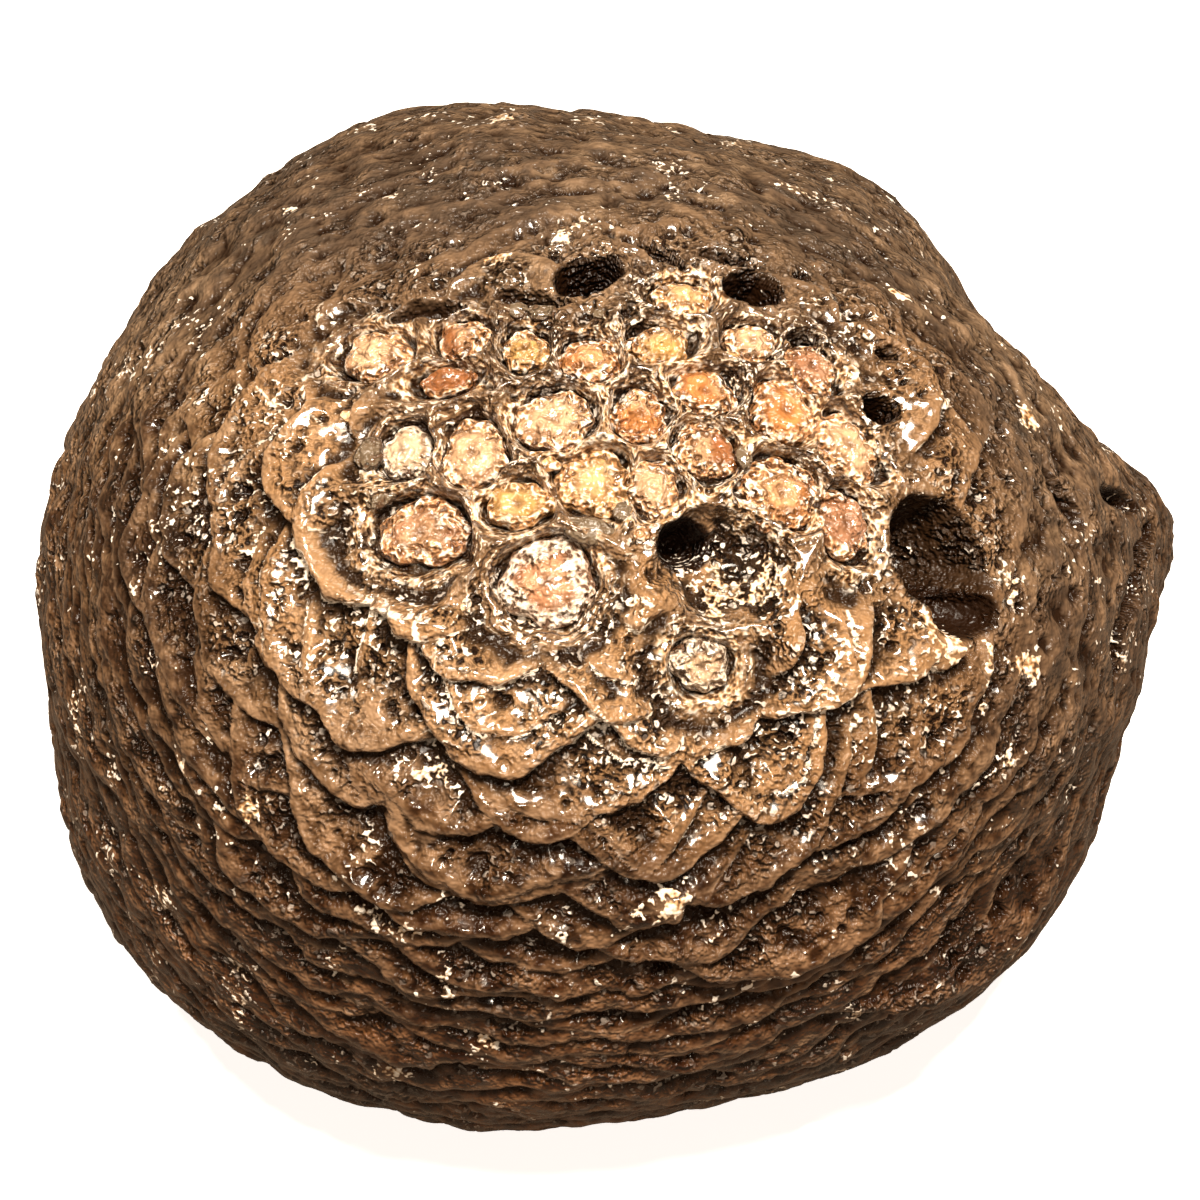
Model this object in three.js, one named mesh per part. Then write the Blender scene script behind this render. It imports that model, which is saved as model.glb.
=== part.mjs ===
// A fossil pine cone: a petrified, bun-shaped cone, worn on its upper front so that the seeds show end on.
//
// The cone is one stone. Its surface is a single height field round a centre inside it:
//   base form        a round top on steep sides, with a few broad swells and flats
//   cone scales      overlapping tongues on a golden-angle spiral round the seed face, each a tilted plate
//                    that is highest at its tip, so that the plates step down like roof tiles
//   seed face        sunken ground with thin walls between the seeds, a dome for each seed
//   hollows          empty seed chambers and bored holes
// and a worn flat underside that it rests on.
//
// Frame, in millimetres: +Z up, origin at the middle of the resting face, -Y towards the seed face.

import * as THREE from "three";
import { SimplifyModifier } from "three/addons/modifiers/SimplifyModifier.js";
import { mergeVertices } from "three/addons/utils/BufferGeometryUtils.js";

// ---------------------------------------------------------------- driving dimensions
const HALF_WIDTH = 36; // along X, at the widest level
const HALF_DEPTH = 34; // along Y
const RISE = 26.5; // from the centre to the top
const CENTRE_HEIGHT = 24; // of the centre above the resting face
const DROP = 25; // the lower half's own half height, a little more than the centre's: the floor cuts it flat
const ROUND_TOP = 2; // exponent of the upper half's outline, 2 is an ellipse
const STEEP_SIDES = 3.2; // exponent of the lower half's outline

const FACE_ELEVATION = 52; // degrees that the middle of the seed face looks up, towards -Y
const MAP_RADIUS = 30; // radius of the round map on which seeds, hollows and scales are placed

// Broad swells and flats of the base form: bearing (0 is -Y, 90 is +X) and elevation in degrees,
// spread in degrees, height.
const SWELLS = [
  { bearing: 110, elevation: 22, spread: 23, height: -4.6 }, // flat shoulder at the back right
  { bearing: 125, elevation: 34, spread: 11, height: 0.9 }, // its upper corner
  { bearing: -140, elevation: 42, spread: 30, height: 2.0 }, // full shoulder at the back left
  { bearing: -94, elevation: 2, spread: 30, height: -0.7 }, // flatter left side
  { bearing: 94, elevation: 3, spread: 9, height: 2.8 }, // knob on the right
  { bearing: 81, elevation: -10, spread: 7, height: -1.6 }, // notch below the knob
  { bearing: 101, elevation: 13, spread: 7, height: -0.6 }, // and above it
  { bearing: -25, elevation: -24, spread: 32, height: 2.1 }, // full foot at the front left
  { bearing: -60, elevation: -24, spread: 17, height: 1.3 }, // its corner on the left
  { bearing: 72, elevation: -14, spread: 18, height: -0.6 }, // waist on the right
  { bearing: 168, elevation: 50, spread: 18, height: -1.0 }, // worn crown behind the seed face
];

// Cone scales: how many on the whole cone and, at some distances from the pole in radians, how crowded they
// are there, their half width, the height of their tips and their reach, from the tip to level ground.
const SCALE_COUNT = 1150;
const SCALE_PLACES = [0.4, 0.8, 1.1, 1.8];
const SCALE_CROWDING = [0.91, 1.13, 3.4, 3.2];
const SCALE_HALF_WIDTH = [5.5, 6.4, 8.2, 8.8];
const SCALE_THICKNESS = [1.9, 1.9, 1.5, 1.35];
const SCALE_REACH = [6.0, 5.6, 3.6, 3.4];
const GOLDEN_ANGLE = Math.PI * (3 - Math.sqrt(5));
const FADED = 0.45; // share of a tip's height that is lost at the full half width
const EDGE = 0.6; // width of the steep step outside the tip line
const GROUND = 1.0; // height of the scales' plates that lies level with the base form

// Large scales below the seed face: the tip's place on the map, half width, tip height, power of the tip
// line (1 is a V, 2 a U), how far it bends back at the half width, and its lean to one side.
const COLLAR = [
  { east: -2.7, north: -10.7, halfWidth: 4.0, thickness: 1.9, power: 1.3, bend: 4.4, lean: 0.0 },
  { east: 1.3, north: -10.1, halfWidth: 3.6, thickness: 1.7, power: 1.4, bend: 2.6, lean: 0.2 },
  { east: 7.0, north: -10.4, halfWidth: 4.6, thickness: 1.9, power: 1.9, bend: 3.2, lean: 0.3 },
  { east: -7.2, north: -11.8, halfWidth: 5.0, thickness: 1.9, power: 2.0, bend: 2.6, lean: -0.3 },
  { east: 0.1, north: -14.9, halfWidth: 6.0, thickness: 2.2, power: 1.3, bend: 3.6, lean: 0.4 },
  { east: 2.6, north: -16.1, halfWidth: 6.0, thickness: 2.0, power: 1.2, bend: 4.0, lean: 0.1 },
  { east: -5.5, north: -16.4, halfWidth: 6.6, thickness: 2.2, power: 1.9, bend: 3.4, lean: -0.2 },
  { east: -3.2, north: -20.1, halfWidth: 5.2, thickness: 2.1, power: 1.5, bend: 3.4, lean: 0.0 },
  { east: 2.4, north: -21.2, halfWidth: 3.6, thickness: 2.1, power: 1.2, bend: 2.8, lean: 0.0 },
  { east: -9.4, north: -19.4, halfWidth: 6.0, thickness: 1.8, power: 1.8, bend: 2.8, lean: -0.3 },
  { east: 8.8, north: -19.2, halfWidth: 5.0, thickness: 2.2, power: 1.5, bend: 4.2, lean: 0.3 },
  { east: 14.6, north: -20.3, halfWidth: 6.4, thickness: 2.1, power: 1.6, bend: 3.2, lean: 0.3 },
  { east: 11.8, north: -13.6, halfWidth: 5.0, thickness: 2.0, power: 1.6, bend: 3.6, lean: 0.4 },
  { east: -12.0, north: -8.9, halfWidth: 4.2, thickness: 1.9, power: 1.4, bend: 3.8, lean: -0.2 },
  { east: -13.8, north: -13.8, halfWidth: 5.6, thickness: 1.8, power: 1.7, bend: 3.0, lean: -0.3 },
  { east: -18.0, north: -9.8, halfWidth: 5.6, thickness: 1.5, power: 1.8, bend: 2.6, lean: -0.4 },
  { east: -5.7, north: -23.1, halfWidth: 7.0, thickness: 2.1, power: 1.8, bend: 2.8, lean: 0.0 },
  { east: 2.2, north: -24.5, halfWidth: 6.2, thickness: 2.2, power: 1.4, bend: 3.4, lean: 0.0 },
  { east: 12.0, north: -27.4, halfWidth: 7.8, thickness: 2.7, power: 1.8, bend: 3.0, lean: 0.0 },
  { east: 19.0, north: -23.6, halfWidth: 6.0, thickness: 2.2, power: 1.7, bend: 3.0, lean: 0.3 },
  { east: 27.5, north: -27.0, halfWidth: 9.0, thickness: 3.0, power: 2.0, bend: 3.0, lean: 0.0 },
];

// Seeds, in rows from the top of the face down: place on the map, half width, half height and the turn of
// the half width in degrees, anticlockwise.
const SEEDS = [
  { east: 5.5, north: 11.8, wide: 2.2, tall: 1.7, turn: 0 },
  { east: -14.4, north: 7.8, wide: 2.3, tall: 2.0, turn: -10 },
  { east: -8.8, north: 8.6, wide: 1.9, tall: 1.7, turn: 30 },
  { east: -4.8, north: 7.6, wide: 1.6, tall: 1.8, turn: 20 },
  { east: -0.6, north: 6.8, wide: 2.1, tall: 1.8, turn: -10 },
  { east: 3.8, north: 7.9, wide: 2.1, tall: 1.6, turn: 0 },
  { east: 9.6, north: 8.2, wide: 1.8, tall: 1.6, turn: 0 },
  { east: 13.2, north: 6.5, wide: 1.7, tall: 2.1, turn: 25 },
  { east: -9.6, north: 5.4, wide: 1.8, tall: 1.1, turn: 10 },
  { east: 6.4, north: 4.3, wide: 2.1, tall: 1.7, turn: -10 },
  { east: 11.2, north: 3.2, wide: 2.0, tall: 2.4, turn: 15 },
  { east: 2.4, north: 2.6, wide: 1.8, tall: 2.0, turn: 10 },
  { east: -2.8, north: 2.3, wide: 2.5, tall: 2.2, turn: 15 },
  { east: 14.6, north: 1.1, wide: 1.7, tall: 2.6, turn: 35 },
  { east: 6.2, north: 0.3, wide: 2.1, tall: 1.8, turn: -35 },
  { east: -7.5, north: 0.2, wide: 2.0, tall: 2.4, turn: 0 },
  { east: -11.6, north: 0.5, wide: 1.6, tall: 1.8, turn: 0 },
  { east: -0.4, north: -1.8, wide: 2.3, tall: 2.2, turn: 0 },
  { east: 3.1, north: -2.1, wide: 1.6, tall: 1.9, turn: 0 },
  { east: 10.4, north: -2.2, wide: 2.4, tall: 2.4, turn: 0 },
  { east: -4.7, north: -3.1, wide: 2.1, tall: 1.5, turn: 0 },
  { east: 13.9, north: -3.8, wide: 1.6, tall: 2.2, turn: 10 },
  { east: -10.1, north: -4.5, wide: 2.7, tall: 2.1, turn: -5 },
  { east: -2.9, north: -7.5, wide: 2.7, tall: 2.6, turn: 0 },
  { east: 5.5, north: -11.9, wide: 1.7, tall: 1.5, turn: 0 },
];
const SEED_DOME = 1.15; // rise of a seed's dome above the floor of its socket
const SOCKET_DEPTH = 0.95; // of the socket's floor below the seed face's ground
const FACE_SINK = 0.35; // of the seed face's ground below the base form
const FACE_MARGIN = 2.6; // how far the ground reaches past the outermost seeds
const WALL_HEIGHT = 0.75; // of the thin walls between two seeds
const WALL_WIDTH = 0.75;

// Empty chambers and bored holes: place, half sizes and turn as for seeds, and depth.
const HOLLOWS = [
  { east: 6.9, north: -6.5, wide: 4.0, tall: 3.3, turn: -10, depth: 2.5 }, // bowl round the main hole
  { east: 4.9, north: -5.5, wide: 1.8, tall: 1.6, turn: 0, depth: 5.0 }, // main hole
  { east: -0.7, north: 13.2, wide: 2.5, tall: 1.5, turn: 19, depth: 5.0 }, // empty chambers above the seeds
  { east: 10.0, north: 12.6, wide: 2.1, tall: 1.6, turn: -5, depth: 5.0 },
  { east: 3.6, north: 15.8, wide: 2.5, tall: 0.75, turn: -34, depth: 3.0 },
  { east: -2.9, north: 17.0, wide: 1.5, tall: 0.5, turn: 8, depth: 1.8 },
  { east: -10.2, north: 17.0, wide: 0.9, tall: 0.45, turn: 10, depth: 1.4 },
  { east: 8.4, north: 15.2, wide: 1.8, tall: 0.6, turn: -20, depth: 1.6 },
  { east: -11.4, north: 10.7, wide: 2.5, tall: 0.8, turn: 10, depth: 1.5 },
  { east: -4.5, north: 11.3, wide: 2.5, tall: 0.8, turn: -8, depth: 1.5 },
  { east: 16.8, north: 3.6, wide: 1.15, tall: 1.0, turn: 0, depth: 3.2 }, // bored holes on the right
  { east: 17.9, north: 7.6, wide: 0.75, tall: 0.45, turn: -30, depth: 1.8 },
  { east: 25.1, north: 3.5, wide: 0.6, tall: 0.7, turn: 20, depth: 1.6 },
  { east: 19.1, north: -5.2, wide: 2.7, tall: 3.6, turn: 20, depth: 5.0 }, // pit on the right
  { east: 20.2, north: -8.3, wide: 2.1, tall: 1.3, turn: 10, depth: 3.4 }, // and its lower lobe
  { east: 29.1, north: -0.3, wide: 0.85, tall: 2.1, turn: 33, depth: 4.5 }, // clefts beside the knob
  { east: 37.0, north: 1.9, wide: 3.4, tall: 1.0, turn: 10, depth: 3.2 },
  { east: 39.6, north: -1.0, wide: 0.9, tall: 3.9, turn: -46, depth: 3.4 }, // groove round the knob
  { east: 35.6, north: -5.8, wide: 0.9, tall: 3.3, turn: -39, depth: 3.4 },
  { east: 33.8, north: -9.4, wide: 0.9, tall: 2.2, turn: 0, depth: 3.0 },
  { east: 12.9, north: 8.4, wide: 1.1, tall: 0.8, turn: 0, depth: 1.6 }, // chip between two seeds
];

// Mesh: a grid on the six faces of a cube, drawn in towards the seed face, then thinned to the vertices
// that carry the relief.
const GRID = 84; // cells along a cube edge before thinning
const ZOOM = 1.7; // how much finer the grid is at the seed face than on an even sphere
const KEPT_VERTICES = 4700;

// ---------------------------------------------------------------- helpers
const radians = THREE.MathUtils.degToRad;
const clamp = THREE.MathUtils.clamp;
const smooth = (low, high, x) => THREE.MathUtils.smoothstep(x, low, high);

// The map's own axes: seen from outside, east is to the right and north is up the cone.
const EAST = new THREE.Vector3(1, 0, 0);
const POLE = new THREE.Vector3(0, -Math.cos(radians(FACE_ELEVATION)), Math.sin(radians(FACE_ELEVATION)));
const NORTH = new THREE.Vector3().crossVectors(POLE, EAST);

// A number from 0 to 1 that is always the same for the same whole number and salt.
function chance(index, salt) {
  const x = Math.sin(index * 12.9898 + salt * 78.233) * 43758.5453;
  return x - Math.floor(x);
}

// A slow wobble of about -1 to 1 from three crossed waves, for edges that aren't ruled.
function wobble(direction, waves, phase) {
  const { x, y, z } = direction;
  return (
    Math.sin(waves * (x + 0.6 * y) + phase) +
    Math.sin(waves * (y - 0.7 * z) + 2.1 * phase) +
    Math.sin(waves * (z + 0.8 * x) + 3.7 * phase)
  ) / 3;
}

// How far a map point is from an oval's middle, as a share of its half size in that direction.
function ovalDistance(oval, east, north) {
  const turn = radians(oval.turn);
  const dx = east - oval.east;
  const dy = north - oval.north;
  const across = (dx * Math.cos(turn) + dy * Math.sin(turn)) / oval.wide;
  const along = (dy * Math.cos(turn) - dx * Math.sin(turn)) / oval.tall;
  return Math.hypot(across, along);
}

// ---------------------------------------------------------------- base form
const SWELL_AXES = SWELLS.map(({ bearing, elevation }) => {
  const b = radians(bearing);
  const e = radians(elevation);
  return new THREE.Vector3(Math.sin(b) * Math.cos(e), -Math.cos(b) * Math.cos(e), Math.sin(e));
});

// A superellipse through the half sizes, with each swell added as a bell over its angle.
function baseRadius(direction) {
  const sideways = Math.hypot(direction.x / HALF_WIDTH, direction.y / HALF_DEPTH);
  const upper = direction.z > 0;
  const height = Math.abs(direction.z) / (upper ? RISE : DROP);
  const power = upper ? ROUND_TOP : STEEP_SIDES;
  let radius = (sideways ** power + height ** power) ** (-1 / power);
  SWELLS.forEach((swell, k) => {
    const angle = SWELL_AXES[k].angleTo(direction);
    radius += swell.height * Math.exp(-((angle / radians(swell.spread)) ** 2));
  });
  return radius;
}

// ---------------------------------------------------------------- cone scales
// The value at x on straight lines through the places, level beyond the first and the last.
function interpolate(x, places, values) {
  const k = places.findIndex((place) => place > x);
  if (k < 0) return values.at(-1);
  if (k === 0) return values[0];
  return THREE.MathUtils.mapLinear(x, places[k - 1], places[k], values[k - 1], values[k]);
}

// Distances of the spiral's tips from the pole, closer together where the scales are crowded.
function tipDistances() {
  const steps = 4000;
  const distances = [];
  const totals = [];
  let total = 0;
  for (let k = 0; k <= steps; k++) {
    const distance = (Math.PI * k) / steps;
    total += interpolate(distance, SCALE_PLACES, SCALE_CROWDING) * Math.sin(distance);
    distances.push(distance);
    totals.push(total);
  }
  const shares = Array.from({ length: SCALE_COUNT }, (_, k) => (k + 0.5) / SCALE_COUNT);
  return shares.map((share) => interpolate(share * total, totals, distances));
}

// Scales at golden-angle steps round the pole, each a little out of place and of its own size.
function spiralScales() {
  return tipDistances().map((distance, k) => {
    const uneven = interpolate(distance, [0.6, 1.2], [0.3, 0.14]);
    return {
      distance: distance + 0.025 * (chance(k, 1) - 0.5),
      bearing: k * GOLDEN_ANGLE + 0.12 * (chance(k, 2) - 0.5),
      halfWidth: interpolate(distance, SCALE_PLACES, SCALE_HALF_WIDTH) * (0.75 + 0.5 * chance(k, 3)),
      thickness: interpolate(distance, SCALE_PLACES, SCALE_THICKNESS) * (1 + uneven * (2 * chance(k, 4) - 1)),
      power: 1.3 + 0.8 * chance(k, 5),
      bend: (2 + 2 * chance(k, 6)) * interpolate(distance, [0.8, 1.1], [1, 0.65]),
      lean: 0.8 * (chance(k, 7) - 0.5),
      reach: interpolate(distance, SCALE_PLACES, SCALE_REACH),
    };
  });
}

function collarScales() {
  return COLLAR.map((scale) => ({
    ...scale,
    distance: Math.hypot(scale.east, scale.north) / MAP_RADIUS,
    bearing: Math.atan2(scale.east, scale.north),
    reach: SCALE_REACH[0],
  }));
}

const SCALES = [...spiralScales(), ...collarScales()];

// The highest plate at a place: each falls back from its tip line and steps off outside it.
function scaleRelief(distance, bearing) {
  let highest = 0;
  for (const scale of SCALES) {
    const outward = MAP_RADIUS * (distance - scale.distance);
    if (outward > EDGE || outward < -scale.reach - 2 * scale.bend) continue;
    const swing = THREE.MathUtils.euclideanModulo(bearing - scale.bearing + Math.PI, 2 * Math.PI) - Math.PI;
    const side = (MAP_RADIUS * Math.sin(scale.distance) * swing) / scale.halfWidth;
    if (FADED * side * side >= 1) continue;
    const past = outward + scale.bend * Math.abs(side) ** scale.power * (1 + scale.lean * Math.sign(side));
    const fall = past < 0 ? -past / scale.reach : past / EDGE;
    highest = Math.max(highest, scale.thickness * (1 - FADED * side * side - fall));
  }
  return highest;
}

// How worn the cone is: nothing in front and below, some on the left, most behind and on the right.
function worn(direction) {
  const north = direction.dot(NORTH);
  const behind = 0.8 * smooth(-0.05, 0.5, north);
  const right = 0.75 * smooth(0.45, 0.8, direction.x) * smooth(-0.8, -0.35, north);
  const left = 0.2 * smooth(0.35, 0.75, -direction.x);
  return Math.max(behind, right, left);
}

// ---------------------------------------------------------------- seed face and hollows
// Ground, walls and domes of the seed face, and how far the face covers this place, from 0 to 1.
function seedFace(east, north) {
  let nearest = Infinity;
  let second = Infinity;
  let dome = 0;
  for (const seed of SEEDS) {
    const share = ovalDistance(seed, east, north);
    const gap = (share - 1) * Math.min(seed.wide, seed.tall);
    if (gap < nearest) [nearest, second] = [gap, nearest];
    else if (gap < second) second = gap;
    if (share < 1) dome = SEED_DOME * Math.sqrt(1 - share * share);
  }
  const cover = 1 - smooth(FACE_MARGIN * 0.5, FACE_MARGIN, nearest);
  const wall = WALL_HEIGHT * Math.exp(-(((second - nearest) / WALL_WIDTH) ** 2));
  const socket = SOCKET_DEPTH * (1 - smooth(-0.1, 0.45, nearest));
  return { cover, height: wall - FACE_SINK - socket + dome };
}

// The deepest hollow at a place, and how near its rim is: the relief is evened out round it.
function hollowAt(east, north) {
  let depth = 0;
  let rim = 0;
  for (const hollow of HOLLOWS) {
    const share = ovalDistance(hollow, east, north);
    if (share < 1) depth = Math.max(depth, hollow.depth * (1 - share ** 3));
    rim = Math.max(rim, 1 - smooth(1.05, 1.5, share));
  }
  return { depth, rim };
}

// ---------------------------------------------------------------- the whole surface
function surfacePoint(direction) {
  const distance = POLE.angleTo(direction);
  const bearing = Math.atan2(direction.dot(EAST), direction.dot(NORTH));
  const east = MAP_RADIUS * distance * Math.sin(bearing);
  const north = MAP_RADIUS * distance * Math.cos(bearing);

  const ragged = distance + 0.02 * wobble(direction, 9, 1.3);
  const swung = bearing + (0.03 * wobble(direction, 7, 4.2)) / Math.max(0.25, Math.sin(distance));
  const scales = (1 - worn(direction)) * (scaleRelief(ragged, swung) - GROUND);
  const face = seedFace(east, north);
  const hollow = hollowAt(east, north);
  const relief = THREE.MathUtils.lerp(scales, face.height, face.cover) * (1 - 0.7 * hollow.rim);
  const lumps = 0.35 * wobble(direction, 6, 0.4) + 0.2 * wobble(direction, 13, 2.9);

  let radius = baseRadius(direction) + relief + lumps - hollow.depth;
  if (direction.z < 0) radius = Math.min(radius, CENTRE_HEIGHT / -direction.z);
  const point = direction.clone().multiplyScalar(radius);
  point.z = Math.max(0, point.z + CENTRE_HEIGHT);
  return point;
}

// A cube face's grid point as a direction, moved towards the pole by a stereographic zoom:
// the tangent of half its angle from the pole is divided by ZOOM.
function gridDirection(corner, along, up, i, j) {
  const u = Math.tan((Math.PI / 4) * ((2 * i) / GRID - 1));
  const v = Math.tan((Math.PI / 4) * ((2 * j) / GRID - 1));
  const d = corner.clone().addScaledVector(along, u).addScaledVector(up, v).normalize();
  const half = Math.atan(Math.tan(Math.acos(clamp(d.z, -1, 1)) / 2) / ZOOM);
  const flat = Math.hypot(d.x, d.y) || 1;
  const shrink = Math.sin(2 * half) / flat;
  return new THREE.Vector3()
    .addScaledVector(EAST, d.x * shrink)
    .addScaledVector(NORTH, d.y * shrink)
    .addScaledVector(POLE, Math.cos(2 * half))
    .normalize();
}

async function coneGeometry() {
  const axes = [
    [0, 0, 1], [0, 0, -1], [1, 0, 0], [-1, 0, 0], [0, 1, 0], [0, -1, 0],
  ].map((a) => new THREE.Vector3(...a));
  const positions = [];
  for (const corner of axes) {
    const along = new THREE.Vector3(corner.y, corner.z, corner.x);
    const up = new THREE.Vector3().crossVectors(corner, along);
    const points = [];
    for (let j = 0; j <= GRID; j++) {
      for (let i = 0; i <= GRID; i++) points.push(surfacePoint(gridDirection(corner, along, up, i, j)));
    }
    for (let j = 0; j < GRID; j++) {
      for (let i = 0; i < GRID; i++) {
        const a = j * (GRID + 1) + i;
        const b = a + GRID + 1;
        for (const k of [a, a + 1, b + 1, a, b + 1, b]) positions.push(...points[k].toArray());
      }
    }
  }
  const fine = mergeVertices(
    new THREE.BufferGeometry().setAttribute("position", new THREE.Float32BufferAttribute(positions, 3)),
    1e-3,
  );
  return new SimplifyModifier().modify(fine, fine.attributes.position.count - KEPT_VERTICES);
}

const petrified = new THREE.MeshStandardMaterial({ color: 0x6b4d36, roughness: 0.45, metalness: 0 });
const cone = new THREE.Mesh(await coneGeometry(), petrified);
cone.name = "fossil_cone";

const group = new THREE.Group();
group.add(cone);
export default group;
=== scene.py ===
"""The looks of a fossil pine cone: one brown, glossy, petrified cone with seeds showing on its upper front.

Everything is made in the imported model's frame, in metres: +Z up, the origin in the middle of the resting
face, -Y towards the seeds. Shapes are worked out in millimetres on whole arrays and scaled at the end.

The cone is a height field round a centre inside it. A direction from the centre is also a place on a round
map: its angle from the pole, the middle of the seed face, times MAP_RADIUS, with east to the right and north
up the cone. Seeds, hollows and scale tips are placed on that map.
"""

import math
from itertools import product

import bpy
import numpy as np
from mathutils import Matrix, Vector


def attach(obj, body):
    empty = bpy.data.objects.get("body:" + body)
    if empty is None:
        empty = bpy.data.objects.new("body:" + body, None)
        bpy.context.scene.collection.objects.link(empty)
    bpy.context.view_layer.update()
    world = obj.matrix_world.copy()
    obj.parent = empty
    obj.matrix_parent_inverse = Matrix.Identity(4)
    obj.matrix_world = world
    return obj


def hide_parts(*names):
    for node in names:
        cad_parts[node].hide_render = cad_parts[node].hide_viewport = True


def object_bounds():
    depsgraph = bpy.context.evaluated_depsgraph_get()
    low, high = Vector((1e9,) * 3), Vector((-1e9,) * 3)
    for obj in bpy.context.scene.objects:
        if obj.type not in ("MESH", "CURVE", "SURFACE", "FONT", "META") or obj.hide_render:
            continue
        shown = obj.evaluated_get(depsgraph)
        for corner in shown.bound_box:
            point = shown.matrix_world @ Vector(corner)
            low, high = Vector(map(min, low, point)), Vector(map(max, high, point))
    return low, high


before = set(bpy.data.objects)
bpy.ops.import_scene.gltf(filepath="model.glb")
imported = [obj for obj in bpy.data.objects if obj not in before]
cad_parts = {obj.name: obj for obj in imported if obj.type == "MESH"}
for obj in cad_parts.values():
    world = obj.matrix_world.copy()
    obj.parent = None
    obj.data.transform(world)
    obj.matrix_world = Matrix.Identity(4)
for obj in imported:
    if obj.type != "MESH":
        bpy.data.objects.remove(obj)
CAD_BOX = [list(corner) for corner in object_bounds()]

MM = 0.001

# ---------------------------------------------------------------- the cone's form, the same as the solid's
HALF_WIDTH = 36.0
HALF_DEPTH = 34.0
RISE = 26.5  # of the top above the centre
CENTRE_HEIGHT = 24.0  # of the centre above the floor
DROP = 25.0  # of the round form below the centre, which the floor cuts off
ROUND_TOP = 2.0  # the superellipse's power above the centre
STEEP_SIDES = 3.2  # and below it

FACE_ELEVATION = math.radians(52)
MAP_RADIUS = 30.0
EAST = np.array([1.0, 0.0, 0.0])
POLE = np.array([0.0, -math.cos(FACE_ELEVATION), math.sin(FACE_ELEVATION)])
NORTH = np.cross(POLE, EAST)

# bearing (0 is -Y, 90 is +X), elevation and spread in degrees, height
SWELLS = [
    (110, 22, 23, -4.6),  # flat shoulder at the back right
    (125, 34, 11, 0.9),  # its upper corner
    (-140, 42, 30, 2.0),  # full shoulder at the back left
    (-94, 2, 30, -0.7),  # flatter left side
    (94, 3, 9, 2.8),  # knob on the right
    (81, -10, 7, -1.6),  # notch below the knob
    (101, 13, 7, -0.6),  # and above it
    (-25, -24, 32, 2.1),  # full foot at the front left
    (-60, -24, 17, 1.3),  # its corner on the left
    (72, -14, 18, -0.6),  # waist on the right
    (168, 50, 18, -1.0),  # worn crown behind the seed face
]

# Cone scales: how many, and at some distances from the pole (radians) how crowded they are there, their
# half width, tip height and reach.
SCALE_COUNT = 1150
SCALE_PLACES = (0.4, 0.8, 1.1, 1.8)
SCALE_CROWDING = (0.91, 1.13, 3.4, 3.2)
SCALE_HALF_WIDTH = (5.5, 6.4, 8.2, 8.8)
SCALE_THICKNESS = (1.9, 1.9, 1.5, 1.35)
SCALE_REACH = (6.0, 5.6, 3.6, 3.4)
GOLDEN_ANGLE = math.pi * (3 - math.sqrt(5))
TIP_FADE = 0.45  # share of a tip's height that is lost at the full half width
EDGE = 0.42  # width of the steep step outside the tip line
LIP_ROUND = 0.2  # how round the lip is, as a share of the tip's height
LIP_BEAD = 0.07  # how far a lip stands up, the same way
GROUND = 1.0  # height of the scales' plates that lies level with the base form
CREASE_HEIGHT = 1.1  # two plates this far apart in height no longer make a crease

# Large scales below the seed face: east, north of the tip, half width, tip height, tip power, bend, lean
COLLAR = [
    (-2.7, -10.7, 4.0, 1.9, 1.3, 4.4, 0.0), (1.3, -10.1, 3.6, 1.7, 1.4, 2.6, 0.2),
    (7.0, -10.4, 4.6, 1.9, 1.9, 3.2, 0.3), (-7.2, -11.8, 5.0, 1.9, 2.0, 2.6, -0.3),
    (0.1, -14.9, 6.0, 2.2, 1.3, 3.6, 0.4), (2.6, -16.1, 6.0, 2.0, 1.2, 4.0, 0.1),
    (-5.5, -16.4, 6.6, 2.2, 1.9, 3.4, -0.2), (-3.2, -20.1, 5.2, 2.1, 1.5, 3.4, 0.0),
    (2.4, -21.2, 3.6, 2.1, 1.2, 2.8, 0.0), (-9.4, -19.4, 6.0, 1.8, 1.8, 2.8, -0.3),
    (8.8, -19.2, 5.0, 2.2, 1.5, 4.2, 0.3), (14.6, -20.3, 6.4, 2.1, 1.6, 3.2, 0.3),
    (11.8, -13.6, 5.0, 2.0, 1.6, 3.6, 0.4), (-12.0, -8.9, 4.2, 1.9, 1.4, 3.8, -0.2),
    (-13.8, -13.8, 5.6, 1.8, 1.7, 3.0, -0.3), (-18.0, -9.8, 5.6, 1.5, 1.8, 2.6, -0.4),
    (-5.7, -23.1, 7.0, 2.1, 1.8, 2.8, 0.0), (2.2, -24.5, 6.2, 2.2, 1.4, 3.4, 0.0),
    (12.0, -27.4, 7.8, 2.7, 1.8, 3.0, 0.0), (19.0, -23.6, 6.0, 2.2, 1.7, 3.0, 0.3),
    (27.5, -27.0, 9.0, 3.0, 2.0, 3.0, 0.0),
]

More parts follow.
